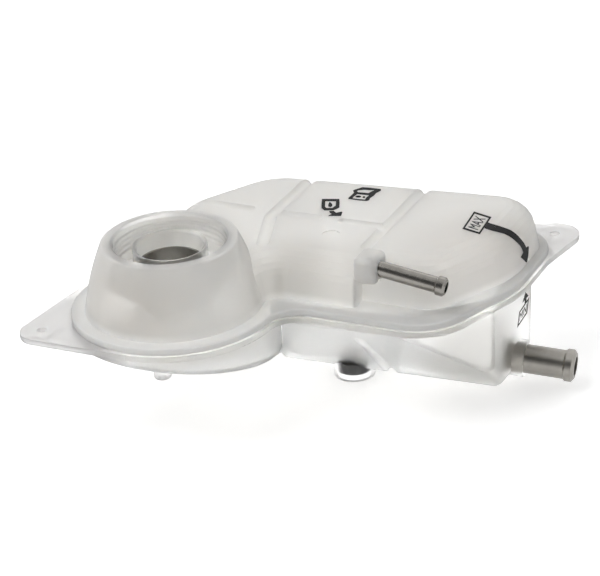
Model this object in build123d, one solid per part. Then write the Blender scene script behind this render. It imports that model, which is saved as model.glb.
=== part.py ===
"""Coolant expansion tank: two welded plastic shells with a filler neck, metal hose nozzles and a
level sensor socket. Millimetres, +Z up, origin at the centre of the filler mouth."""
from build123d import *
from math import cos, radians, sin, sqrt, tan
import os

# Heights below the filler mouth
roof_drop = 12.0
seam_drop = 40.5
floor_drop = 100.0

# Shell walls and the weld flange
wall = 2.6
upper_flange_thickness = 3.5
lower_flange_thickness = 3.7
flange_step = 1.8
flange_round = 0.9
wall_draft = 10.0
roof_round = 15.0
floor_round = 9.0
floor_draft = 4.0
lower_end_inset = 3.2
lower_end_draft = 1.0

# Plan of the walls at the seam, measured from the neck axis
front_y = 21.6
end_x = 162.5
back_y = 143.2
left_x = -33.0
left_distance = 68.0
left_turn = 31.0
back_turn = 5.5
bridge_x = 48.5
bridge_lean = 4.0
end_sweep = 20.4
end_sweep_depth = 23.3
bridge_round = 9.0
front_corner_round = 26.0
end_corner_round = 60.0
back_corner_round = 26.0
lower_corner_round = 32.0
left_corner_round = 38.0

# Plan of the flange around those walls
flange_front = 10.9
flange_side = 6.0
flange_neck_radius = 57.2
flange_hollow_round = 16.0

# Filler neck
mouth_radius = 36.4
mouth_round = 1.6
neck_foot_radius = 48.0
neck_bulge_radius = 43.4
rim_thickness = 3.0
collar_radius = 30.2
collar_wall = 3.0
collar_depth = 20.0
collar_lead = 1.2
web_thickness = 2.6
tube_radius = 19.9
tube_wall = 1.9
tube_drop = 3.8
tube_end_drop = 46.0
tube_lead = 0.8

# Metal sleeve in the sealing tube
sleeve_wall = 1.0
sleeve_drop = 12.9
sleeve_length = 26.0
sleeve_lip = 0.5

# Pillows of the roof: grooves over the inner baffle walls
groove_radius = 4.0
groove_depth = 2.2
groove_left_x = 27.0
groove_right_x = 93.0
groove_cross_y = 71.0
groove_left_start = 66.0
groove_right_start = 46.0
groove_bend_x = 38.0
groove_bend_y = 33.0
groove_inset = 10.0
floor_groove_start = 62.0
floor_groove_end = 120.0
cross_gap = 16.0
baffle_thickness = 2.6
baffle_passage = 14.0

# Round moulding mark on the roof
mark_x = 68.3
mark_y = 54.0
mark_radius = 4.8
mark_depth = 0.5

# Right of a step the front stands back, which leaves room for the vent hose
step_x = 95.0
step_depth = 9.5
step_round = 2.0
recess_end_gap = 13.5
recess_end_turn = 27.0
recess_corner_round = 20.0
crest_round = 2.0

# Vent nozzle and its boss beside the step
vent_radius = 4.25
vent_bore = 3.1
vent_passage_bore = 2.2
vent_bead_radius = 5.1
vent_bead_length = 5.5
vent_length = 36.2
vent_root = 7.5
vent_y = 29.1
vent_drop = 15.3
vent_turn = 4.5
vent_fall_angle = 11.0
boss_reach = 12.8
boss_front = 7.5
boss_back = 9.0
boss_height = 14.5
boss_round = 3.0

# Outlet nozzle and its boss on the end wall
outlet_radius = 8.0
outlet_bore = 5.3
outlet_bead_radius = 9.0
outlet_bead_length = 6.0
outlet_length = 27.5
outlet_root = 12.0
outlet_y = 92.0
outlet_drop = 90.5
outlet_turn = 8.9
outlet_fall_angle = 5.0
outlet_boss_radius = 10.2
outlet_boss_reach = 3.5

# Sloped front of the lower shell
slope_start_drop = 50.0
slope_angle = 45.8
slope_turn = 2.5
panel_depth = 44.5
panel_end_depth = 3.9
panel_end_y = 57.0
panel_round = 8.0

# Bowl under the neck and its locating peg
bowl_radius = 55.8
bowl_drop = 61.4
bowl_draft = 1.0
bowl_fall_angle = 12.6
bowl_turn = 14.5
bowl_round = 3.6
peg_x = -6.0
peg_y = -10.0
peg_radius = 4.85
peg_drop = 79.0
peg_round = 2.0
peg_boss_radius = 7.5
peg_boss_drop = 65.0

# Fixing ears, cut from the lower flange plate
ear_hole_radius = 2.8
ear_edge_y = 57.5
left_ear_x = -68.8
left_ear_lean = 8.5
left_ear_round = 11.5
right_ear_inset = 2.0
right_ear_y = 147.3
right_ear_round = 13.4
ear_web = 2.2
ear_rim = 1.8
ear_boss = 3.0

# Level sensor socket under the floor
sensor_x = 68.0
sensor_y = 74.0
socket_radius = 11.5
socket_bore = 9.2
socket_reach = 6.0
socket_depth = 9.0
insert_depth = 3.0
insert_setback = 3.0
insert_wall = 2.4
insert_slack = 0.2
pin_radius = 1.0
pin_length = 22.0
pin_setback = 4.0
pin_pitch = 7.0

roof_z = -roof_drop
seam_z = -seam_drop
floor_z = -floor_drop
sweep_x = end_x - end_sweep_depth
panel_x = end_x - panel_depth
flange_top_z = seam_z + upper_flange_thickness
flange_bottom_z = seam_z - lower_flange_thickness
tube_bore = tube_radius - tube_wall
reach = 400.0
least_round = 1.0
edge_steps = 6


def rounded(corners):
    """Flat outline through (x, y, radius) corners."""
    pieces = []
    stops = []
    for k, (x, y, radius) in enumerate(corners):
        corner = Vector(x, y)
        back = (Vector(*corners[k - 1][:2]) - corner).normalized()
        ahead = (Vector(*corners[(k + 1) % len(corners)][:2]) - corner).normalized()
        half = radians(back.get_angle(ahead)) / 2
        stop = corner + back * (radius / tan(half))
        start = corner + ahead * (radius / tan(half))
        if radius:
            middle = corner + (back + ahead).normalized() * (radius / sin(half) - radius)
            pieces.append(ThreePointArc(stop, middle, start))
        stops.append((stop, start))
    for k, (stop, start) in enumerate(stops):
        pieces.insert(0, Line(start, stops[(k + 1) % len(stops)][0]))
    return make_face(Wire(pieces))


def shrunk(corners, margins):
    """Corners of the outline whose sides are moved in by margins; side k starts at corner k."""
    moved = []
    for k, (x, y, radius) in enumerate(corners):
        corner = Vector(x, y)
        back = (corner - Vector(*corners[k - 1][:2])).normalized()
        ahead = (Vector(*corners[(k + 1) % len(corners)][:2]) - corner).normalized()
        turn = back.X * ahead.Y - back.Y * ahead.X
        shift = (ahead * margins[k - 1] - back * margins[k]) * (1 / turn)
        if radius:
            margin = min(margins[k - 1], margins[k])
            radius = max(radius - margin, least_round) if turn > 0 else radius + margin
        moved.append((x + shift.X, y + shift.Y, radius))
    return moved


def margin_at(height, top, draft, edge_round):
    """How far a drafted wall with a rounded far edge has moved in at a height above its foot."""
    centre = top - edge_round
    lean = radians(draft)
    if height <= centre + edge_round * sin(lean):
        return height * tan(lean)
    over = max(edge_round**2 - (height - centre)**2, 0)
    return (edge_round + centre * sin(lean)) / cos(lean) - sqrt(over)


def block(corners, base, top, draft, edge_round, rules, extra=()):
    """Drafted block with a rounded far edge; rules give the margins of single sides by height."""
    span = abs(top - base)
    turns = [draft + (90 - draft) * k / edge_steps for k in range(edge_steps + 1)]
    heights = [0, *extra] + [span - edge_round * (1 - sin(radians(turn))) for turn in turns]
    sections = []
    for height in heights:
        margins = [margin_at(height, span, draft, edge_round)] * len(corners)
        for side, rule in rules.items():
            margins[side] = rule(height)
        z = base + height if top > base else base - height
        sections.append(at_height(rounded(shrunk(corners, margins)), z))
    return loft(sections, ruled=True)


def at_height(outline, z):
    return Pos(0, 0, z) * outline


def rod(radius, bottom, top, x=0.0, y=0.0):
    """Upright cylinder between two heights."""
    return Pos(x, y, bottom) * Cylinder(radius, top - bottom, align=(Align.CENTER, Align.CENTER, Align.MIN))


def turned(points):
    """Solid of revolution about the neck axis from a closed (radius, height) profile."""
    return revolve(Plane.XZ * make_face(Polyline(*points, close=True)), Axis.Z)


def back_at(x, end, back):
    """Depth of the slanted back wall at a given x, from its corner with the end wall."""
    return back - (end - x) * tan(radians(back_turn))


def back_left(end, back, distance):
    """Corner of the slanted left wall, a given distance from the neck axis, and the back wall."""
    lean = sin(radians(left_turn))
    x = (lean * back_at(0, end, back) - distance) / (cos(radians(left_turn)) - lean * tan(radians(back_turn)))
    return x, back_at(x, end, back)


def left_end(side, distance):
    """Where that slanted left wall meets the short wall beside the neck."""
    return (distance + side * cos(radians(left_turn))) / sin(radians(left_turn))


def swept_y(x, start, front, turn):
    """Depth at which a line, turned in plan from a start at the front, reaches an x."""
    return front + (x - start) / tan(radians(turn))


def wall_corners():
    """Outline of the upper walls at the seam, behind the step; its first side lies inside the neck."""
    front = front_y + step_depth
    inner_x = bridge_x - bridge_round
    end_y = swept_y(end_x, sweep_x, front_y, end_sweep)
    crest_x = end_x - recess_end_gap * tan(radians(end_sweep))
    crest_y = end_y - recess_end_gap
    return [
        (left_x, 0, 0),
        (inner_x, 0, 0),
        (inner_x, front, bridge_round),
        (crest_x - (crest_y - front) * tan(radians(recess_end_turn)), front, recess_corner_round),
        (crest_x, crest_y, crest_round),
        (end_x, end_y, end_corner_round),
        (end_x, back_y, back_corner_round),
        (*back_left(end_x, back_y, left_distance), left_corner_round),
        (left_x, left_end(left_x, left_distance), left_corner_round),
    ]


def front_corners():
    """Outline of the front up to the step; its first side is the step, its fourth lies in the neck."""
    return [
        (step_x, front_y, step_round),
        (step_x, groove_cross_y, 0),
        (0, groove_cross_y, 0),
        (0, 0, 0),
        (bridge_x - bridge_lean, 0, 0),
        (bridge_x, front_y, bridge_round),
    ]


def flange_plan():
    """Outline of the lower weld flange without the ears."""
    front = front_y - flange_front
    end = end_x + flange_side
    back = back_y + flange_side
    side = left_x - flange_side
    distance = left_distance + flange_side
    start = sweep_x + flange_side
    inside = flange_neck_radius / 2
    body = rounded([
        (side, 0, 0),
        (inside, 0, 0),
        (inside, front, 0),
        (start, front, front_corner_round + flange_side),
        (end, swept_y(end, start, front, end_sweep), end_corner_round + flange_side),
        (end, back, back_corner_round + flange_side),
        (*back_left(end, back, distance), left_corner_round + flange_side),
        (side, left_end(side, distance), left_corner_round + flange_side),
    ])
    plan = body + Circle(flange_neck_radius)
    front_hollow = (sqrt(flange_neck_radius**2 - front**2), front, 0)
    side_hollow = (side, sqrt(flange_neck_radius**2 - side**2), 0)
    for hollow in (front_hollow, side_hollow):
        plan = fillet(plan.vertices().sort_by_distance(hollow)[0], flange_hollow_round)
    return plan


def upright(height):
    """Margin rule of a side without draft."""
    return 0


def upper_body(inset):
    """Solid under the roof, its skin set in by a margin."""
    body = Part()
    for corners, kept, rules in (
        (wall_corners(), 0, {0: upright}),
        (front_corners(), 3, {0: upright, 3: upright}),
    ):
        margins = [inset] * len(corners)
        margins[kept] = 0
        body += block(shrunk(corners, margins), seam_z, roof_z - inset, wall_draft, roof_round - inset, rules)
    return body


def beyond(origin, normal):
    """Everything on the far side of a plane, as a large block."""
    ahead = (Align.CENTER, Align.CENTER, Align.MIN)
    return Plane(origin=origin, z_dir=normal) * Box(reach, reach, reach, align=ahead)


def neck_solid(inset, top):
    """Flared filler neck up to a height, its skin set in by a margin."""
    foot = neck_foot_radius - inset
    mouth = mouth_radius - inset
    skin = ThreePointArc((foot, flange_top_z), (neck_bulge_radius - inset, flange_top_z / 2), (mouth, top))
    sides = Polyline((mouth, top), (0, top), (0, seam_z), (foot, seam_z), (foot, flange_top_z))
    return revolve(Plane.XZ * make_face([skin] + sides.edges()), Axis.Z)


def neck_core():
    """Threaded collar, web and sealing tube inside the neck."""
    collar_outer = collar_radius + collar_wall
    web_z = -collar_depth - web_thickness
    rim_z = -rim_thickness / 2
    return turned([
        (tube_bore, -tube_end_drop),
        (tube_radius, -tube_end_drop),
        (tube_radius, web_z),
        (collar_outer, web_z),
        (collar_outer, rim_z),
        (collar_radius, rim_z),
        (collar_radius, -collar_depth),
        (tube_radius, -collar_depth),
        (tube_radius, -tube_drop),
        (tube_bore + tube_lead, -tube_drop),
        (tube_bore, -tube_drop - tube_lead),
    ])


def mouth_cut():
    """Opening of the mouth with its lead-in bevel."""
    return turned([
        (0, -2 * rim_thickness),
        (collar_radius, -2 * rim_thickness),
        (collar_radius, -collar_lead),
        (collar_radius + 2 * collar_lead, collar_lead),
        (0, collar_lead),
    ])


def roof_groove(x, start, radius):
    """Bar along a groove that runs back from a round start and over the back edge of the roof."""
    lift = groove_radius - groove_depth
    crest = roof_z + lift
    foot = seam_z + 2 * upper_flange_thickness
    side = lift / cos(radians(wall_draft))
    line = [(start, crest)]
    for z in (crest, foot):
        line.append((back_at(x, end_x, back_y) - (z - seam_z) * tan(radians(wall_draft)) + side, z))
    path = Plane.YZ.offset(x) * FilletPolyline(*line, radius=roof_round + lift)
    bar = sweep(Plane(path @ 0, z_dir=path % 0) * Circle(radius), path)
    return bar + Pos(x, start, crest) * Sphere(radius)


def straight_groove(start, end, radius):
    """Level bar with round ends between two plan points of the roof."""
    crest = roof_z + groove_radius - groove_depth
    first = Vector(*start, crest)
    run = Vector(*end, crest) - first
    bar = Plane(first, z_dir=run) * rod(radius, 0, run.length)
    return bar + Pos(*start, crest) * Sphere(radius) + Pos(*end, crest) * Sphere(radius)


def cross_spans():
    """The three stretches of the cross groove, as pairs of x."""
    middle = (groove_left_x + groove_right_x) / 2
    return [
        (left_x + groove_inset, groove_left_x - cross_gap),
        (groove_left_x, middle - cross_gap / 2),
        (middle + cross_gap / 2, groove_right_x),
    ]


def roof_grooves(radius):
    """Bars along all the roof grooves."""
    corner = (groove_left_x, groove_left_start)
    bars = roof_groove(*corner, radius) + roof_groove(groove_right_x, groove_right_start, radius)
    bars += straight_groove(corner, (groove_bend_x, groove_bend_y), radius)
    for start, end in cross_spans():
        bars += straight_groove((start, groove_cross_y), (end, groove_cross_y), radius)
    return bars


def floor_groove(x, radius):
    """Bar along a groove that runs down the sloped front and back under the floor."""
    lift = groove_radius - groove_depth
    lean = radians(90 - slope_angle)
    front = front_y - (panel_x - x) * tan(radians(slope_turn)) - lift / cos(lean)
    low = floor_z - lift
    line = [(front + (-z - slope_start_drop) * tan(lean), z) for z in (-floor_groove_start, low)]
    path = Plane.YZ.offset(x) * FilletPolyline(*line, (floor_groove_end, low), radius=floor_round + lift)
    bar = sweep(Plane(path @ 0, z_dir=path % 0) * Circle(radius), path)
    return bar + Pos(path @ 0) * Sphere(radius) + Pos(path @ 1) * Sphere(radius)


def baffles(cavity, bottom, top, passage_z):
    """Walls under the grooves, trimmed to a cavity and open at the passages."""
    height = top - bottom
    level = (top + bottom) / 2
    walls = Part()
    for x in (groove_left_x, groove_right_x):
        length = reach - groove_left_start
        walls += Pos(x, groove_left_start + length / 2, level) * Box(baffle_thickness, length, height)
    for y in (groove_left_start, (groove_cross_y + back_y) / 2):
        walls -= Pos((groove_left_x + groove_right_x) / 2, y, passage_z) * Box(
            reach, baffle_passage, baffle_passage)
    for start, end in cross_spans():
        walls += Pos((start + end) / 2, groove_cross_y, level) * Box(end - start, baffle_thickness, height)
    return walls & cavity


def nozzle_plane(origin, yaw, fall):
    """Where a nozzle leaves its boss, with its axis as Z."""
    level = cos(radians(fall))
    axis = (level * cos(radians(yaw)), level * sin(radians(yaw)), -sin(radians(fall)))
    return Plane(origin, z_dir=axis)


def vent_plane():
    return nozzle_plane((step_x + boss_reach, vent_y, -vent_drop), vent_turn, vent_fall_angle)


def outlet_plane():
    face_x = end_x - lower_end_inset + outlet_boss_reach
    return nozzle_plane((face_x, outlet_y, -outlet_drop), outlet_turn, outlet_fall_angle)


def vent_boss():
    """Boss beside the step that carries the vent nozzle."""
    depth = boss_front + boss_back
    middle = Pos(step_x + boss_reach / 2, vent_y + (boss_back - boss_front) / 2, -vent_drop)
    boss = middle * Box(boss_reach, depth, boss_height)
    return fillet(boss.edges(), boss_round)


def vent_passage():
    """Bore from the root of the vent nozzle down into the tank."""
    plane = vent_plane()
    depth = vent_root + vent_passage_bore / 2
    start = plane.origin - plane.z_dir * depth
    run = Vector(0, roof_round, -roof_drop)
    bore = plane * rod(vent_passage_bore, -depth, 0) + Pos(start) * Sphere(vent_passage_bore)
    return bore + Plane(start, z_dir=run) * rod(vent_passage_bore, 0, run.length)


def nozzle(radius, bore, bead_radius, bead_length, length, root):
    """Hose nozzle along Z from its root inside the wall to the bead at its end."""
    slope = (bead_radius - radius) * 1.5
    profile = Polyline(
        (bore, -root),
        (radius, -root),
        (radius, length - bead_length),
        (bead_radius, length - bead_length + (bead_radius - radius)),
        (bead_radius, length - slope),
        (radius - (radius - bore) / 3, length),
        (bore, length),
        close=True)
    return revolve(Plane.XZ * make_face(profile), Axis.Z)


def upper_shell():
    neck = neck_solid(0, 0)
    neck = fillet(neck.edges().sort_by(Axis.Z)[-1], mouth_round)
    flange = extrude(at_height(offset(flange_plan(), -flange_step), seam_z), upper_flange_thickness)
    flange = fillet(flange.faces().sort_by(Axis.Z)[-1].edges(), flange_round)
    body = upper_body(0) + vent_boss()
    cavity = upper_body(wall) + neck_solid(wall, -rim_thickness)
    shell = body + neck + flange - cavity - mouth_cut()
    shell += baffles(cavity, seam_z, roof_z, seam_z)
    shell += neck_core()
    shell += roof_grooves(groove_radius + wall) & cavity
    shell -= roof_grooves(groove_radius)
    shell -= rod(mark_radius, roof_z - mark_depth, roof_z + mark_depth, mark_x, mark_y)
    return shell - vent_plane() * rod(vent_radius, -vent_root, vent_root) - vent_passage()


def neck_sleeve():
    outer = tube_bore
    inner = tube_bore - sleeve_wall
    top = -sleeve_drop
    bottom = top - sleeve_length
    return turned([
        (inner, bottom),
        (outer, bottom),
        (outer, top - sleeve_lip),
        (outer - sleeve_lip, top),
        (inner + sleeve_lip / 2, top),
        (inner, top - sleeve_lip),
    ])


def lower_corners():
    """Outline of the lower walls at the seam; its first side is the front."""
    turn = tan(radians(slope_turn))
    end = end_x - lower_end_inset
    return [
        (left_x, front_y - (panel_x - left_x) * turn, panel_round),
        (end, front_y + (end - panel_x) * turn, panel_round),
        (end, back_y, lower_corner_round),
        (*back_left(end_x, back_y, left_distance), left_corner_round),
        (left_x, left_end(left_x, left_distance), panel_round),
    ]


def lower_body(inset):
    """Drafted tub with its sloped front and the flat panel beside it, the skin set in by a margin."""
    depth = floor_drop - seam_drop - inset
    start = slope_start_drop - seam_drop - inset * tan(radians(slope_angle) / 2)

    def front(height):
        return margin_at(max(height - start, 0), depth - start, 90 - slope_angle, floor_round - inset)

    def end(height):
        return margin_at(height, depth, lower_end_draft, floor_round - inset)

    corners = lower_corners()
    corners = shrunk(corners, [inset] * len(corners))
    rules = {0: front, 1: end}
    tub = block(corners, seam_z, floor_z + inset, floor_draft, floor_round - inset, rules, [start])
    out = Vector(panel_end_y - front_y, panel_end_depth - panel_depth).normalized()
    return tub - beyond(Vector(panel_x, front_y, seam_z) - out * inset, out)


def bowl(inset):
    """Round tub under the neck, its floor falling towards the body."""
    depth = 2 * (bowl_drop - seam_drop)
    tub = extrude(at_height(Circle(bowl_radius - inset), seam_z), depth, dir=(0, 0, -1), taper=bowl_draft)
    out = Vector(0, -sin(radians(bowl_fall_angle)), -cos(radians(bowl_fall_angle))).rotate(Axis.Z, -bowl_turn)
    tub -= beyond(Vector(0, 0, -bowl_drop) - out * inset, out)
    return fillet(tub.faces().sort_by(Axis.Z)[0].edges(), bowl_round - inset)


def left_ear_plan():
    return rounded([
        (left_ear_x, -ear_edge_y, left_ear_round),
        (0, -ear_edge_y, 0),
        (0, flange_neck_radius / 2, 0),
        (left_x - neck_foot_radius / 3, flange_neck_radius / 2, 0),
        (left_ear_x + left_ear_lean, flange_neck_radius / 4, left_ear_round),
    ])


def right_ear_plan():
    corner = back_corner_round + flange_side
    tip = Pos(end_x - right_ear_inset, right_ear_y) * Circle(right_ear_round)
    root = Pos(end_x + flange_side - corner, back_y + flange_side - corner) * Circle(corner)
    return make_hull(tip.edges() + root.edges())


def ear_holes():
    """Plan points of the two fixing holes, left then right."""
    left = (left_ear_x + left_ear_round + ear_rim, left_ear_round - ear_edge_y)
    return [left, (end_x - right_ear_inset, right_ear_y)]


def ear_pockets():
    """Hollows under the ears that leave a rim, a boss round each hole and a rib to the flange."""
    depth = lower_flange_thickness - ear_web
    hollows = Sketch()
    keep = flange_plan()
    for plan, hole in zip((left_ear_plan(), right_ear_plan()), ear_holes()):
        middle = Vector(*hole)
        hollow = offset(plan, -ear_rim) - keep - Pos(middle) * Circle(ear_hole_radius + ear_boss)
        span = Vector(*plan.center()) - middle
        rib = Plane(middle + span / 2, x_dir=span) * Rectangle(span.length, ear_rim)
        hollows += hollow - rib
    return extrude(at_height(hollows, flange_bottom_z), depth)


def lower_shell():
    cavity = lower_body(wall) + bowl(wall)
    plate = flange_plan() + left_ear_plan() + right_ear_plan()
    shell = extrude(at_height(plate, seam_z), lower_flange_thickness, dir=(0, 0, -1))
    shell = fillet(shell.faces().sort_by(Axis.Z)[0].edges(), flange_round)
    shell += lower_body(0) + bowl(0)
    boss = outlet_plane() * rod(outlet_boss_radius, -outlet_root, 0)
    shell -= cavity
    shell += boss
    shell += baffles(cavity, floor_z, seam_z, floor_z)
    for x in (groove_left_x, groove_right_x):
        shell += floor_groove(x, groove_radius + wall) & cavity
        shell -= floor_groove(x, groove_radius)
    socket_z = floor_z - socket_reach
    shell += rod(socket_radius, socket_z, socket_z + socket_depth + wall, sensor_x, sensor_y)
    shell -= rod(socket_bore, socket_z, socket_z + socket_depth, sensor_x, sensor_y)
    shell += rod(peg_boss_radius, -peg_boss_drop, -bowl_drop + wall, peg_x, peg_y)
    peg = rod(peg_radius, -peg_drop, -peg_boss_drop, peg_x, peg_y)
    shell += fillet(peg.edges().sort_by(Axis.Z)[0], peg_round)
    shell -= outlet_plane() * rod(outlet_radius, -2 * outlet_root, outlet_root)
    for x in sensor_pin_xs():
        shell -= rod(pin_radius, socket_z, seam_z, x, sensor_y)
    for x, y in ear_holes():
        shell -= rod(ear_hole_radius, flange_bottom_z, seam_z, x, y)
    return shell - ear_pockets()


def sensor_pin_xs():
    return [sensor_x - pin_pitch / 2, sensor_x + pin_pitch / 2]


def sensor_insert():
    rim = floor_z - socket_reach + insert_setback
    top = floor_z - socket_reach + socket_depth
    radius = socket_bore - insert_slack
    insert = rod(radius, rim, top, sensor_x, sensor_y)
    insert -= rod(radius - insert_wall, rim, top - insert_depth, sensor_x, sensor_y)
    for x in sensor_pin_xs():
        insert -= rod(pin_radius, rim, top, x, sensor_y)
    return insert


def sensor_pins():
    bottom = floor_z - socket_reach + pin_setback
    return Part() + [rod(pin_radius, bottom, bottom + pin_length, x, sensor_y) for x in sensor_pin_xs()]


os.makedirs("parts", exist_ok=True)
for name, make in {
    "upper_shell": upper_shell,
    "lower_shell": lower_shell,
    "neck_sleeve": neck_sleeve,
    "sensor_insert": sensor_insert,
    "sensor_pins": sensor_pins,
    "vent_nozzle": lambda: vent_plane() * nozzle(
        vent_radius, vent_bore, vent_bead_radius, vent_bead_length, vent_length, vent_root),
    "outlet_nozzle": lambda: outlet_plane() * nozzle(
        outlet_radius, outlet_bore, outlet_bead_radius, outlet_bead_length, outlet_length, outlet_root),
}.items():
    export_step(make(), f"parts/{name}.step")
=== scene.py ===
"""Coolant expansion tank: materials, neck thread, printed marks, floor, light and camera."""
from math import cos, pi, radians, sin

import bmesh
import bpy
from mathutils import Matrix, Vector
from mathutils.bvhtree import BVHTree


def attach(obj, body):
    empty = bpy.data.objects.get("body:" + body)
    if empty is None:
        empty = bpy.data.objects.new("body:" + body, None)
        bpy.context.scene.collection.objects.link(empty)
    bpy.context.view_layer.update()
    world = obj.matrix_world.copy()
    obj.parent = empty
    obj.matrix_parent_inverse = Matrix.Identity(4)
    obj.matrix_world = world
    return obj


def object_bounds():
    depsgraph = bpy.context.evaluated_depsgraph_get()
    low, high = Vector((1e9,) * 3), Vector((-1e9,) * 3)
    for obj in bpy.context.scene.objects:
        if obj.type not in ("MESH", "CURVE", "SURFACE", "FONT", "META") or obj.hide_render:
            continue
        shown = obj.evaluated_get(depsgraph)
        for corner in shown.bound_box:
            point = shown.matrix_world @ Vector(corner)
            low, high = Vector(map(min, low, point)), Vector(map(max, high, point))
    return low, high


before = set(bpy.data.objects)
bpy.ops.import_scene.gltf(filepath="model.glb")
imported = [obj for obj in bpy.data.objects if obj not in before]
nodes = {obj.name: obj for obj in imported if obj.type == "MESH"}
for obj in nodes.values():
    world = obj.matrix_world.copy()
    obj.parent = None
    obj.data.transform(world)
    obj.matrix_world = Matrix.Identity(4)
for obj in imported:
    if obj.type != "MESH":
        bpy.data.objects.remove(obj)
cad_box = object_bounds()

MM = 0.001

# The camera, fitted to the photograph
PHOTO_WIDTH = 600
PHOTO_HEIGHT = 576
SENSOR = 36.0
FOCAL_PIXELS = 2503.73
CLIP_NEAR = 0.05
CLIP_FAR = 50.0
CAMERA_PLACE = Vector((0.599496, -1.035402, 0.551427))
YAW = 0.468956
PITCH = 0.455873
ROLL = 0.069556

# The world's light, and the darker room in front of the object
WHITE = (1.0, 1.0, 1.0, 1.0)
AMBIENT = 0.55
ROOM_SIDE = (0.25, -0.85, 0.45)
ROOM_START = 0.4
ROOM_FULL = 0.92
ROOM_LEVEL = 0.1
ROOM_SOFT = 0.6

# The lamps: name, place, size and power
LAMP_TARGET = (0.05, 0.04, -0.05)
LAMPS = (
    ("key", (-0.7, -0.7, 1.7), 1.3, 18.0),
    ("fill", (0.35, -1.5, 0.0), 1.2, 1.2),
    ("back", (0.2, 1.6, 1.2), 1.2, 3.0),
)

# The floor, with its own glow for the camera and for see-through walls
FLOOR_HALF = 6.0
FLOOR_GAP = 0.0002
FLOOR_PALE = (0.94, 0.94, 0.94)
FLOOR_DEEP = (0.92, 0.92, 0.92)
FLOOR_CLOUD_SCALE = 3.0
FLOOR_LIFT = 0.46
FLOOR_THROUGH = 0.95

# The range in which most values of a noise lie
NOISE_LOW = 0.3
NOISE_HIGH = 0.7

# Sockets of a Mix node: its share, then from, to and out for plain values and for colours
MIX_SHARE = 0
MIX_VALUE, MIX_VALUE_TO, MIX_VALUE_OUT = 2, 3, 0
MIX_COLOUR, MIX_COLOUR_TO, MIX_COLOUR_OUT = 6, 7, 2

# Milky plastic: flow clouds, satin grain, soft ripples and scattered light
CLOUD_SCALE = 26.0
CLOUD_DETAIL = 4.0
CLOUD_ROUGHNESS = 0.55
CLEAR_SPREAD = 0.01
GRAIN_SCALE = 2600.0
GRAIN_DEPTH = 0.000008
SATIN_SPREAD = 0.06
RIPPLE_SCALE = 190.0
RIPPLE_DEPTH = 0.00005
FINE_DETAIL = 2.0
BUMP_STRENGTH = 0.5
PLASTIC_BEND = 1.15
SCATTER_DEPTH = 0.004
SCATTER_REACH = (1.0, 0.97, 0.92)

# Turned metal: fine rings along one axis, and stains
RINGS_ALONG_X = (2600.0, 60.0, 60.0)
RINGS_ALONG_Z = (60.0, 60.0, 2600.0)
RING_ROUGHNESS = 0.6
RING_DEPTH = 0.000006
SMOOTHEST = 0.9
ROUGHEST = 1.15
STAIN_SCALE = 160.0

# Black plastic and ink
BLACK_SCALE = 1500.0
BLACK_DEPTH = 0.00002
BLACK_SPREAD = 0.1

# Places on the shells, as points or heights in millimetres
NECK_FRONT = (-12, -44, -26)
NECK_INSIDE = (0, 0, -8)
ROOF_END = (153, 66, -16)
FRONT_WALL = (68, 16, -24)
UPPER_WELD = -40.5
LOWER_WELD = -42
LEFT_EAR = (-55.5, -46, -42)
RIGHT_EAR = (160.5, 147.3, -42)
BACK_WALL = (60, 170, -72)
BACK_CORNER = (0, 112, -80)
LEFT_WALL = (-4, 62, -80)
OUTLET_CORNER = (150, 56, -76)
BOWL = (-4, -6, -82)
BOWL_MIDDLE = (-4, -6, -80)
PEG = (-6, -10, -80)
SOCKET = (68, 74, -100)

# Painted shade and painted light on the plastic: place, where it is full, where it ends, and colour.
# The entries paint shade, with the painted shadow of the metal sleeve on the front of the neck and
# painted light inside the neck; the narrow bands at the welds are darker joints, and the plastic around
# the peg is darker.
UPPER_PAINTED_SHADE_LIGHT_AND_WELD = (
    # painted shadow of the metal sleeve on the front of the neck
    (NECK_FRONT, 10, 54, (0.755, 0.739, 0.713)),
    # painted shade on the roof's end
    (ROOF_END, 22, 56, (0.79, 0.775, 0.75)),
    # painted shade on the front wall
    (FRONT_WALL, 14, 46, (0.76, 0.75, 0.725)),
    # painted light inside the neck
    (NECK_INSIDE, 26, 38, (0.998, 0.996, 0.99)),
    (UPPER_WELD, 4, 8, (0.93, 0.921, 0.903)),
)
LOWER_PAINTED_SHADE_AND_WELD = (
    # painted shade on the back corner
    (BACK_CORNER, 15, 52, (0.92, 0.915, 0.9)),
    # painted shade on the left wall
    (LEFT_WALL, 12, 46, (0.84, 0.835, 0.82)),
    # painted shade at the outlet corner
    (OUTLET_CORNER, 18, 50, (0.64, 0.635, 0.62)),
    # painted shade on the bowl
    (BOWL, 20, 62, (0.84, 0.835, 0.82)),
    # darker around the peg
    (PEG, 7, 12, (0.7, 0.695, 0.69)),
    (LOWER_WELD, 4, 8, (0.93, 0.922, 0.906)),
    # painted shade on the ears
    (LEFT_EAR, 32, 66, (0.72, 0.715, 0.71)),
    (RIGHT_EAR, 26, 50, (0.76, 0.755, 0.75)),
)

# Clearer and duller places: place, where it is full, where it ends, clearness and roughness
UPPER_CLEARNESS = (
    (NECK_INSIDE, 28, 38, 0.98, 0.4),
)
LOWER_CLEARNESS = (
    (BACK_WALL, 40, 110, 0.84, 0.7),
    (BACK_CORNER, 20, 56, 0.89, 0.7),
    (LEFT_WALL, 16, 48, 0.85, 0.7),
    (SOCKET, 11, 17, 0.98, 0.35),
    (BOWL_MIDDLE, 36, 64, 0.83, 0.7),
    (LEFT_EAR, 30, 60, 0.6, 0.6),
    (RIGHT_EAR, 26, 50, 0.6, 0.6),
)


def camera_axes():
    """Right, down and forward of the camera."""
    forward = Vector((-sin(YAW) * cos(PITCH), cos(YAW) * cos(PITCH), -sin(PITCH)))
    level = Vector((cos(YAW), sin(YAW), 0.0))
    below = forward.cross(level)
    right = cos(ROLL) * level + sin(ROLL) * below
    down = cos(ROLL) * below - sin(ROLL) * level
    return right, down, forward


RIGHT, DOWN, FORWARD = camera_axes()


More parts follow.
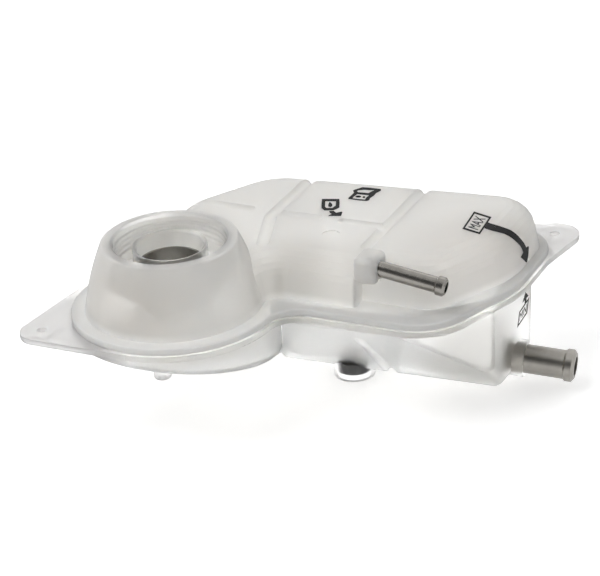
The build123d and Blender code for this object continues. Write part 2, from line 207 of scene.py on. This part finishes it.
def add_camera():
    """The camera at the photograph's place and angle."""
    camera = bpy.data.cameras.new("camera")
    camera.sensor_fit = "HORIZONTAL"
    camera.sensor_width = SENSOR
    camera.lens = SENSOR * FOCAL_PIXELS / PHOTO_WIDTH
    camera.clip_start = CLIP_NEAR
    camera.clip_end = CLIP_FAR
    holder = bpy.data.objects.new("camera", camera)
    bpy.context.scene.collection.objects.link(holder)
    turn = Matrix((RIGHT, -DOWN, -FORWARD)).transposed()
    holder.matrix_world = Matrix.Translation(CAMERA_PLACE) @ turn.to_4x4()
    bpy.context.scene.camera = holder


# Materials

def material_tree(name):
    """A new material with its node tree and its Principled shader."""
    material = bpy.data.materials.new(name)
    material.use_nodes = True
    tree = material.node_tree
    tree.nodes.clear()
    output = tree.nodes.new("ShaderNodeOutputMaterial")
    shader = tree.nodes.new("ShaderNodeBsdfPrincipled")
    tree.links.new(shader.outputs["BSDF"], output.inputs["Surface"])
    return material, tree, shader


def object_place(tree):
    """The place on the object, in its own axes."""
    return tree.nodes.new("ShaderNodeTexCoord").outputs["Object"]


def noise(tree, place, scale, detail=3.0, roughness=0.5):
    """Noise about a place."""
    node = tree.nodes.new("ShaderNodeTexNoise")
    node.inputs["Scale"].default_value = scale
    node.inputs["Detail"].default_value = detail
    node.inputs["Roughness"].default_value = roughness
    tree.links.new(place, node.inputs["Vector"])
    return node.outputs["Fac"]


def ramp(tree, value, low, high):
    """A colour that runs from low to high over the range of a noise."""
    node = tree.nodes.new("ShaderNodeValToRGB")
    stops = ((NOISE_LOW, low), (NOISE_HIGH, high))
    for point, (place, colour) in zip(node.color_ramp.elements, stops):
        point.position = place
        point.color = (*colour, 1.0)
    tree.links.new(value, node.inputs["Fac"])
    return node.outputs["Color"]


def spread(tree, value, low, high):
    """A number that runs from low to high over the range of a noise."""
    node = tree.nodes.new("ShaderNodeMapRange")
    node.inputs["From Min"].default_value = NOISE_LOW
    node.inputs["From Max"].default_value = NOISE_HIGH
    node.inputs["To Min"].default_value = low
    node.inputs["To Max"].default_value = high
    tree.links.new(value, node.inputs["Value"])
    return node.outputs["Result"]


def bump(tree, height, distance, strength, normal=None):
    """A bumped normal, over another one if given."""
    node = tree.nodes.new("ShaderNodeBump")
    node.inputs["Distance"].default_value = distance
    node.inputs["Strength"].default_value = strength
    tree.links.new(height, node.inputs["Height"])
    if normal is not None:
        tree.links.new(normal, node.inputs["Normal"])
    return node.outputs["Normal"]


def set_inputs(shader, **values):
    """Set a shader's inputs by name, with underscores for spaces."""
    for key, value in values.items():
        shader.inputs[key.replace("_", " ")].default_value = value


def height_only(tree, place):
    """A place with its X and Y taken off."""
    node = tree.nodes.new("ShaderNodeVectorMath")
    node.operation = "MULTIPLY"
    node.inputs[1].default_value = (0.0, 0.0, 1.0)
    tree.links.new(place, node.inputs[0])
    return node.outputs["Vector"]


def near(tree, place, point, inner, outer):
    """One within the inner distance of a point or height, nought beyond the outer; millimetres."""
    if not isinstance(point, tuple):
        place = height_only(tree, place)
        point = (0, 0, point)
    apart = tree.nodes.new("ShaderNodeVectorMath")
    apart.operation = "DISTANCE"
    apart.inputs[1].default_value = Vector(point) * MM
    tree.links.new(place, apart.inputs[0])
    fade = tree.nodes.new("ShaderNodeMapRange")
    fade.interpolation_type = "SMOOTHSTEP"
    fade.inputs["From Min"].default_value = inner * MM
    fade.inputs["From Max"].default_value = outer * MM
    fade.inputs["To Min"].default_value = 1.0
    fade.inputs["To Max"].default_value = 0.0
    tree.links.new(apart.outputs["Value"], fade.inputs["Value"])
    return fade.outputs["Result"]


def tinted(tree, colour, share, tint):
    """The colour, drawn towards a tint by a share."""
    node = tree.nodes.new("ShaderNodeMix")
    node.data_type = "RGBA"
    node.inputs[MIX_COLOUR_TO].default_value = (*tint, 1.0)
    tree.links.new(share, node.inputs[MIX_SHARE])
    tree.links.new(colour, node.inputs[MIX_COLOUR])
    return node.outputs[MIX_COLOUR_OUT]


def drawn(tree, value, share, target):
    """A value, drawn towards a target by a share."""
    node = tree.nodes.new("ShaderNodeMix")
    node.inputs[MIX_VALUE_TO].default_value = target
    tree.links.new(share, node.inputs[MIX_SHARE])
    tree.links.new(value, node.inputs[MIX_VALUE])
    return node.outputs[MIX_VALUE_OUT]


def milky_plastic(name, pale, deep, see_through, rough, shade_light_and_welds, clearness):
    """Moulded translucent plastic with soft flow clouds, a satin grain, painted shade and painted light
    at given places, and clearer or duller places.
    """
    material, tree, shader = material_tree(name)
    place = object_place(tree)
    clouds = noise(tree, place, CLOUD_SCALE, CLOUD_DETAIL, CLOUD_ROUGHNESS)
    grain = noise(tree, place, GRAIN_SCALE, FINE_DETAIL)
    ripples = noise(tree, place, RIPPLE_SCALE, FINE_DETAIL)
    colour = ramp(tree, clouds, deep, pale)
    # Painted shade and painted light at the given places, and darker bands at the welds
    for point, inner, outer, tint in shade_light_and_welds:
        colour = tinted(tree, colour, near(tree, place, point, inner, outer), tint)
    tree.links.new(colour, shader.inputs["Base Color"])
    satin = spread(tree, grain, rough - SATIN_SPREAD, rough + SATIN_SPREAD)
    through = spread(tree, clouds, see_through - CLEAR_SPREAD, see_through + CLEAR_SPREAD)
    for point, inner, outer, clear_to, rough_to in clearness:
        share = near(tree, place, point, inner, outer)
        satin = drawn(tree, satin, share, rough_to)
        through = drawn(tree, through, share, clear_to)
    tree.links.new(satin, shader.inputs["Roughness"])
    tree.links.new(through, shader.inputs["Transmission Weight"])
    waves = bump(tree, ripples, RIPPLE_DEPTH, BUMP_STRENGTH)
    grained = bump(tree, grain, GRAIN_DEPTH, BUMP_STRENGTH, waves)
    tree.links.new(grained, shader.inputs["Normal"])
    shader.subsurface_method = "RANDOM_WALK"
    set_inputs(shader, Subsurface_Weight=1.0, Subsurface_Scale=SCATTER_DEPTH,
               Subsurface_Radius=SCATTER_REACH, IOR=PLASTIC_BEND)
    return material


def turned_metal(name, light, dark, rings_along, rough, strength):
    """Machined metal with fine rings along an axis."""
    material, tree, shader = material_tree(name)
    place = object_place(tree)
    stretch = tree.nodes.new("ShaderNodeMapping")
    stretch.inputs["Scale"].default_value = rings_along
    tree.links.new(place, stretch.inputs["Vector"])
    rings = noise(tree, stretch.outputs["Vector"], 1.0, roughness=RING_ROUGHNESS)
    stain = noise(tree, place, STAIN_SCALE)
    satin = spread(tree, rings, rough * SMOOTHEST, rough * ROUGHEST)
    tree.links.new(ramp(tree, stain, dark, light), shader.inputs["Base Color"])
    tree.links.new(satin, shader.inputs["Roughness"])
    tree.links.new(bump(tree, rings, RING_DEPTH, strength), shader.inputs["Normal"])
    set_inputs(shader, Metallic=1.0)
    return material


def matt_black(name, pale, deep, rough, shine):
    """Dull black plastic or ink."""
    material, tree, shader = material_tree(name)
    place = object_place(tree)
    grain = noise(tree, place, BLACK_SCALE)
    satin = spread(tree, grain, rough - BLACK_SPREAD, rough + BLACK_SPREAD)
    tree.links.new(ramp(tree, grain, deep, pale), shader.inputs["Base Color"])
    tree.links.new(satin, shader.inputs["Roughness"])
    tree.links.new(bump(tree, grain, BLACK_DEPTH, BUMP_STRENGTH), shader.inputs["Normal"])
    set_inputs(shader, Specular_IOR_Level=shine)
    return material


def dress(name, material):
    """Give a node its one material."""
    slots = nodes[name].data.materials
    slots.clear()
    slots.append(material)


def add_piece(name, mesh, material):
    """A piece of the scene's own, on the body."""
    piece = bpy.data.objects.new(name, mesh)
    bpy.context.scene.collection.objects.link(piece)
    mesh.materials.append(material)
    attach(piece, "root")


# The cap thread inside the collar: millimetres, shares, turns, steps per turn and degrees

THREAD_RADIUS = 30.2
THREAD_HEIGHT = 1.0
THREAD_ROOT = 0.95
THREAD_CREST = 0.28
THREAD_PITCH = 3.0
THREAD_TOP = -3.4
THREAD_TURNS = 4.2
THREAD_SINK = 0.25
THREAD_ROUND = 0.25
THREAD_SHOULDER = 0.75
THREAD_FADE = 0.14
THREAD_LEAST = 0.02
THREAD_STEPS = 110
THREAD_SHARP = 50


def add_thread(material):
    """A rounded helical ridge that fades out at both ends."""
    build = bmesh.new()
    rings = []
    count = int(THREAD_TURNS * THREAD_STEPS)
    for k in range(count + 1):
        turn = k / THREAD_STEPS
        angle = 2 * pi * turn
        fade = min(1.0, turn / THREAD_FADE, (THREAD_TURNS - turn) / THREAD_FADE)
        fade = max(fade, THREAD_LEAST)
        fade = fade * fade * (3 - 2 * fade)
        middle = THREAD_TOP - THREAD_PITCH * turn
        flank = [(THREAD_SINK, THREAD_ROOT + THREAD_SINK), (0.0, THREAD_ROOT),
                 (-THREAD_SHOULDER * THREAD_HEIGHT * fade, THREAD_CREST + THREAD_ROUND),
                 (-THREAD_HEIGHT * fade, THREAD_CREST)]
        ring = []
        for out, up in flank + [(out, -up) for out, up in reversed(flank)]:
            radius = (THREAD_RADIUS + out) * MM
            ring.append(build.verts.new((radius * cos(angle), radius * sin(angle),
                                         (middle + up) * MM)))
        rings.append(ring)
    for one, two in zip(rings, rings[1:]):
        for k in range(len(one)):
            after = (k + 1) % len(one)
            build.faces.new((one[k], one[after], two[after], two[k]))
    build.faces.new(rings[0])
    build.faces.new(rings[-1])
    bmesh.ops.recalc_face_normals(build, faces=build.faces[:])
    mesh = bpy.data.meshes.new("neck_thread")
    build.to_mesh(mesh)
    build.free()
    mesh.shade_smooth()
    mesh.set_sharp_from_angle(angle=radians(THREAD_SHARP))
    add_piece("neck_thread", mesh, material)


# Printed marks, laid on the shells: metres over and under the wall, photo pixels, and counts

INK_OVER = 0.00007
INK_UNDER = 0.00005
INK_STEP = 2.0
INK_SHIFT = 0.137
WELD_REACH = 0.01
LETTER_STEPS = 3
ELLIPSE_POINTS = 16


def surface_tree(name):
    """A node's surface, for rays to meet."""
    holder = nodes[name]
    points = [holder.matrix_world @ v.co for v in holder.data.vertices]
    return BVHTree.FromPolygons(points, [list(f.vertices) for f in holder.data.polygons])


def flat_shape(outlines):
    """Closed outlines, one within another being a hole, as flat faces."""
    curve = bpy.data.curves.new("flat", "CURVE")
    curve.dimensions = "2D"
    curve.fill_mode = "BOTH"
    for outline in outlines:
        spline = curve.splines.new("POLY")
        spline.points.add(len(outline) - 1)
        for point, (x, y) in zip(spline.points, outline):
            point.co = (x, y, 0.0, 1.0)
        spline.use_cyclic_u = True
    return curve


def flat_words(words):
    """Plain letters, one high, standing on the X axis."""
    curve = bpy.data.curves.new("words", "FONT")
    curve.body = words
    curve.size = 1.0
    curve.resolution_u = LETTER_STEPS
    return curve


def to_build(curve):
    """The flat faces of a curve."""
    holder = bpy.data.objects.new("flat", curve)
    mesh = bpy.data.meshes.new_from_object(holder)
    build = bmesh.new()
    build.from_mesh(mesh)
    bpy.data.objects.remove(holder)
    bpy.data.meshes.remove(mesh)
    return build


def split(build, axis, step):
    """Cut the flat faces along even lines, so that they can follow a curved wall."""
    values = [v.co[axis] for v in build.verts]
    place = (int(min(values) / step) + 1) * step + INK_SHIFT
    across = Vector((0.0, 0.0, 0.0))
    across[axis] = 1.0
    while place < max(values):
        everything = build.verts[:] + build.edges[:] + build.faces[:]
        bmesh.ops.bisect_plane(build, geom=everything, plane_co=across * place, plane_no=across)
        place += step


def lay(build, walls):
    """Move flat faces given in photo pixels onto the wall behind them, as a thin skin."""
    bmesh.ops.remove_doubles(build, verts=build.verts[:], dist=WELD_REACH)
    split(build, 0, INK_STEP)
    split(build, 1, INK_STEP)
    bmesh.ops.remove_doubles(build, verts=build.verts[:], dist=WELD_REACH)
    bmesh.ops.triangulate(build, faces=build.faces[:])
    bmesh.ops.dissolve_degenerate(build, edges=build.edges[:], dist=WELD_REACH)
    under = {}
    for v in build.verts[:]:
        ray = FORWARD * FOCAL_PIXELS + RIGHT * (v.co.x - PHOTO_WIDTH / 2)
        ray = (ray + DOWN * (v.co.y - PHOTO_HEIGHT / 2)).normalized()
        place, normal = walls.ray_cast(CAMERA_PLACE, ray)[:2]
        if place is None:
            raise RuntimeError("a mark misses the wall at %.1f %.1f" % (v.co.x, v.co.y))
        v.co = place + normal * INK_OVER
        under[v] = place - normal * INK_UNDER
    build.normal_update()
    top = build.faces[:]
    for face in top:
        ray = face.calc_center_median() - CAMERA_PLACE
        if face.normal.dot(ray) > 0:
            face.normal_flip()
    border = [(e.verts[0], e.verts[1]) for e in build.edges if e.is_boundary]
    lower = {v: build.verts.new(place) for v, place in under.items()}
    for face in top:
        build.faces.new([lower[v] for v in reversed(face.verts)])
    for one, two in border:
        build.faces.new((one, two, lower[two], lower[one]))
    bmesh.ops.recalc_face_normals(build, faces=build.faces[:])


def leaning(origin, along, up, x, y):
    """A point in photo pixels, from its shares of the sides of a leaning box."""
    return (origin[0] + along[0] * x + up[0] * y, origin[1] + along[1] * x + up[1] * y)


def add_mark(name, curves, walls, ink):
    """One printed mark from flat shapes; each comes with its map to photo pixels."""
    whole = bpy.data.meshes.new(name)
    gathered = bmesh.new()
    for curve, origin, along, up in curves:
        build = to_build(curve)
        for v in build.verts:
            v.co = (*leaning(origin, along, up, v.co.x, v.co.y), 0.0)
        lay(build, walls)
        part = bpy.data.meshes.new("part")
        build.to_mesh(part)
        build.free()
        gathered.from_mesh(part)
        bpy.data.meshes.remove(part)
    gathered.to_mesh(whole)
    gathered.free()
    add_piece(name, whole, ink)


def shape(*outlines):
    """Outlines given straight in photo pixels."""
    return flat_shape(outlines), (0.0, 0.0), (1.0, 0.0), (0.0, 1.0)


def framed(origin, along, up, edge_x, edge_y):
    """A frame in a leaning box, with its edges as shares of the sides."""
    outer = [(0, 0), (1, 0), (1, 1), (0, 1)]
    inner = [(edge_x, edge_y), (1 - edge_x, edge_y),
             (1 - edge_x, 1 - edge_y), (edge_x, 1 - edge_y)]
    return shape(*[[leaning(origin, along, up, x, y) for x, y in corners]
                   for corners in (outer, inner)])


def worded(words, origin, along, up, wide, high, left, low):
    """Letters fitted in a leaning box, as shares of its sides."""
    curve = flat_words(words)
    build = to_build(curve)
    xs = [v.co.x for v in build.verts]
    ys = [v.co.y for v in build.verts]
    build.free()
    across = wide / (max(xs) - min(xs))
    tall = high / (max(ys) - min(ys))
    x = left - min(xs) * across
    y = low - min(ys) * tall
    start = leaning(origin, along, up, x, y)
    return curve, start, (along[0] * across, along[1] * across), (up[0] * tall, up[1] * tall)


def ellipse(x, y, wide, high):
    """An ellipse in photo pixels, from its middle and its half widths."""
    turns = [2 * pi * k / ELLIPSE_POINTS for k in range(ELLIPSE_POINTS)]
    return [(x + wide * cos(turn), y + high * sin(turn)) for turn in turns]


def add_marks(ink):
    """The level marks, the shield and the book; all places are photo pixels."""
    roof = surface_tree("upper_shell")
    wall = surface_tree("lower_shell")
    # The full mark on the roof, with its arrow over the end
    origin, along, up = (479.8, 234.3), (11.7, -17.2), (-17.5, -5.5)
    arrow = [(487.6, 222.2), (491, 223.6), (497, 225.3), (503, 227.2), (508.5, 229.2), (511, 230.3),
             (515, 233), (518.5, 236.3), (521.5, 239.8), (524, 243), (525.5, 246), (526.3, 247.6),
             (528, 246), (528.8, 247), (528.5, 252), (528, 257), (527, 262), (526.2, 262.6),
             (524, 260.3), (520.7, 257.3), (522.3, 254.2), (523.1, 252.2), (522, 249), (520.3, 246),
             (517, 242.5), (513, 239), (509, 236.2), (504, 233.7), (498.5, 232.3), (493, 231),
             (488.5, 229.7), (484.2, 228.1)]
    frame_lines = framed(origin, along, up, edge_x=0.085, edge_y=0.095)
    letters = worded("MAX", origin, along, up, wide=0.66, high=0.56, left=0.17, low=0.22)
    add_mark("mark_max", [frame_lines, letters, shape(arrow)], roof, ink)
    # The shield on the roof and the pointer under it
    shield = [(322, 199), (339.3, 199), (339.6, 203), (339.3, 207.6), (336.5, 209.1), (333.4, 210.3),
              (324.3, 210.4), (321.5, 208.2), (321.5, 204)]
    field = [(325.3, 201.3), (336, 201.3), (335.7, 205.6), (332.4, 208), (326.3, 208), (325, 206.7)]
    drop = [(329.8, 201.7), (332.2, 204.2), (332.3, 206.2), (330.2, 207.4), (328.2, 206.4),
            (328.4, 204.2)]
    pointer = [(329.2, 211), (333.5, 210.9), (336.2, 212.8), (341.5, 211.7), (342.4, 212.4), (341, 216),
               (328.4, 216), (329, 215.2), (331.7, 214.1), (329.6, 212.4)]
    add_mark("mark_shield", [shape(shield, field), shape(drop), shape(pointer)], roof, ink)
    # The open book on the roof
    book = [(353, 190.6), (354.6, 189.7), (362.5, 187.3), (368, 187.6), (381, 189.1), (381, 190.6),
            (376, 193.2), (374, 195.6), (370.2, 198), (369, 200.3), (366.5, 201), (360, 200.5),
            (352, 199.4), (348.4, 199.1), (348.4, 198), (354, 192.8)]
    far_page = [(356.8, 191.2), (358.4, 190.4), (364, 189.8), (374.8, 190.4), (372, 191.2),
                (368.8, 193.2), (363, 192.7), (358, 192.3)]
    near_page = [(357.2, 194.2), (360, 194.5), (369.2, 195.3), (366.4, 197.5), (365, 199.7),
                 (358, 199.1), (352.4, 198.3), (353.8, 196.6)]
    add_mark("mark_book", [shape(book, far_page, near_page), shape(ellipse(358.3, 196.6, 2.9, 1.0)),
                           shape(ellipse(363.9, 197.2, 1.3, 0.85))], roof, ink)
    # The low mark on the end wall, with its arrow pointing up
    origin, along, up = (517.2, 327.8), (9.8, -14.8), (2.0, -15.8)
    arrow = [(525.5, 292.2), (528.4, 295.6), (526.4, 298.1), (526.5, 302.0), (524.7, 304.2),
             (524.6, 300.2), (522.4, 302.8)]
    frame_lines = framed(origin, along, up, edge_x=0.1, edge_y=0.13)
    letters = worded("MIN", origin, along, up, wide=0.66, high=0.5, left=0.17, low=0.25)
    add_mark("mark_min", [frame_lines, letters, shape(arrow)], wall, ink)


# Floor, world and lamps

def add_floor(material):
    """A wide flat floor just under the part."""
    build = bmesh.new()
    half = FLOOR_HALF
    level = cad_box[0][2] - FLOOR_GAP
    corners = [(-half, -half), (half, -half), (half, half), (-half, half)]
    build.faces.new([build.verts.new((x, y, level)) for x, y in corners])
    mesh = bpy.data.meshes.new("floor")
    build.to_mesh(mesh)
    build.free()
    mesh.materials.append(material)
    floor = bpy.data.objects.new("floor", mesh)
    bpy.context.scene.collection.objects.link(floor)


def seen_directly(tree, camera, glossy, through, soft=0.0):
    """How strongly the camera, a reflection, a see-through wall and soft light meet a backdrop."""
    path = tree.nodes.new("ShaderNodeLightPath")
    total = None
    kinds = (("Camera", camera), ("Glossy", glossy), ("Transmission", through), ("Diffuse", soft))
    for name, share in kinds:
        part = tree.nodes.new("ShaderNodeMath")
        part.operation = "MULTIPLY"
        part.inputs[1].default_value = share
        tree.links.new(path.outputs["Is %s Ray" % name], part.inputs[0])
        if total is None:
            total = part.outputs["Value"]
            continue
        both = tree.nodes.new("ShaderNodeMath")
        both.operation = "MAXIMUM"
        tree.links.new(total, both.inputs[0])
        tree.links.new(part.outputs["Value"], both.inputs[1])
        total = both.outputs["Value"]
    return total


def floor_material():
    """Pale floor that the camera sees as nearly white, with the shadow kept."""
    material, tree, shader = material_tree("floor_pale")
    place = object_place(tree)
    clouds = noise(tree, place, FLOOR_CLOUD_SCALE)
    tree.links.new(ramp(tree, clouds, FLOOR_DEEP, FLOOR_PALE), shader.inputs["Base Color"])
    set_inputs(shader, Roughness=1.0, Specular_IOR_Level=0.0, Emission_Color=WHITE)
    lift = seen_directly(tree, FLOOR_LIFT, FLOOR_LIFT, FLOOR_THROUGH)
    tree.links.new(lift, shader.inputs["Emission Strength"])
    return material


def add_world():
    """White for the camera and through clear walls, and a softer light on the object."""
    world = bpy.data.worlds.new("studio")
    bpy.context.scene.world = world
    world.use_nodes = True
    tree = world.node_tree
    background = tree.nodes["Background"]
    background.inputs["Color"].default_value = WHITE
    level = tree.nodes.new("ShaderNodeMapRange")
    level.inputs["To Min"].default_value = AMBIENT
    level.inputs["To Max"].default_value = 1.0
    tree.links.new(seen_directly(tree, 1.0, 1.0, 1.0), level.inputs["Value"])
    # The room in front of the object is darker, as reflections and soft light show
    facing = tree.nodes.new("ShaderNodeVectorMath")
    facing.operation = "DOT_PRODUCT"
    facing.inputs[1].default_value = Vector(ROOM_SIDE).normalized()
    tree.links.new(tree.nodes.new("ShaderNodeTexCoord").outputs["Generated"], facing.inputs[0])
    room = tree.nodes.new("ShaderNodeMapRange")
    room.interpolation_type = "SMOOTHSTEP"
    room.inputs["From Min"].default_value = ROOM_START
    room.inputs["From Max"].default_value = ROOM_FULL
    room.inputs["To Min"].default_value = 1.0
    room.inputs["To Max"].default_value = ROOM_LEVEL
    tree.links.new(facing.outputs["Value"], room.inputs["Value"])
    shown = tree.nodes.new("ShaderNodeMath")
    shown.operation = "MAXIMUM"
    tree.links.new(room.outputs["Result"], shown.inputs[0])
    tree.links.new(seen_directly(tree, 1.0, 0.0, 1.0, ROOM_SOFT), shown.inputs[1])
    strength = tree.nodes.new("ShaderNodeMath")
    strength.operation = "MULTIPLY"
    tree.links.new(level.outputs["Result"], strength.inputs[0])
    tree.links.new(shown.outputs["Value"], strength.inputs[1])
    tree.links.new(strength.outputs["Value"], background.inputs["Strength"])


def add_lamp(name, place, size, power):
    """A round soft lamp, turned to the object."""
    lamp = bpy.data.lights.new(name, "AREA")
    lamp.shape = "DISK"
    lamp.size = size
    lamp.energy = power
    holder = bpy.data.objects.new(name, lamp)
    bpy.context.scene.collection.objects.link(holder)
    away = Vector(LAMP_TARGET) - Vector(place)
    turn = away.to_track_quat("-Z", "Y").to_matrix().to_4x4()
    holder.matrix_world = Matrix.Translation(Vector(place)) @ turn


add_camera()
upper_plastic = milky_plastic(
    "milky_upper", pale=(0.895, 0.886, 0.866), deep=(0.88, 0.871, 0.85),
    see_through=0.46, rough=0.5, shade_light_and_welds=UPPER_PAINTED_SHADE_LIGHT_AND_WELD, clearness=UPPER_CLEARNESS)
lower_plastic = milky_plastic(
    "milky_lower", pale=(0.99, 0.989, 0.985), deep=(0.98, 0.979, 0.975),
    see_through=0.952, rough=0.62, shade_light_and_welds=LOWER_PAINTED_SHADE_AND_WELD, clearness=LOWER_CLEARNESS)
nozzle_metal = turned_metal(
    "nozzle_metal", light=(0.36, 0.345, 0.318), dark=(0.30, 0.286, 0.262),
    rings_along=RINGS_ALONG_X, rough=0.32, strength=0.04)
vent_metal = turned_metal(
    "vent_metal", light=(0.29, 0.277, 0.256), dark=(0.24, 0.229, 0.21),
    rings_along=RINGS_ALONG_X, rough=0.22, strength=0.04)
sleeve_metal = turned_metal(
    "sleeve_metal", light=(0.44, 0.43, 0.405), dark=(0.33, 0.32, 0.30),
    rings_along=RINGS_ALONG_Z, rough=0.34, strength=0.25)
pin_metal = turned_metal(
    "pin_metal", light=(0.66, 0.63, 0.57), dark=(0.55, 0.53, 0.48),
    rings_along=RINGS_ALONG_Z, rough=0.25, strength=0.1)
insert_black = matt_black(
    "insert_black", pale=(0.03, 0.03, 0.03), deep=(0.012, 0.012, 0.012), rough=0.6, shine=0.4)
ink_black = matt_black(
    "ink_black", pale=(0.014, 0.014, 0.015), deep=(0.007, 0.007, 0.008), rough=0.55, shine=0.15)
dress("upper_shell", upper_plastic)
dress("lower_shell", lower_plastic)
dress("neck_sleeve", sleeve_metal)
dress("vent_nozzle", vent_metal)
dress("outlet_nozzle", nozzle_metal)
dress("sensor_insert", insert_black)
dress("sensor_pins", pin_metal)
add_thread(upper_plastic)
add_marks(ink_black)
add_floor(floor_material())
add_world()
for lamp_name, lamp_place, lamp_size, lamp_power in LAMPS:
    add_lamp(lamp_name, lamp_place, lamp_size, lamp_power)

bpy.context.scene.view_settings.view_transform = "Standard"
bpy.context.view_layer.update()
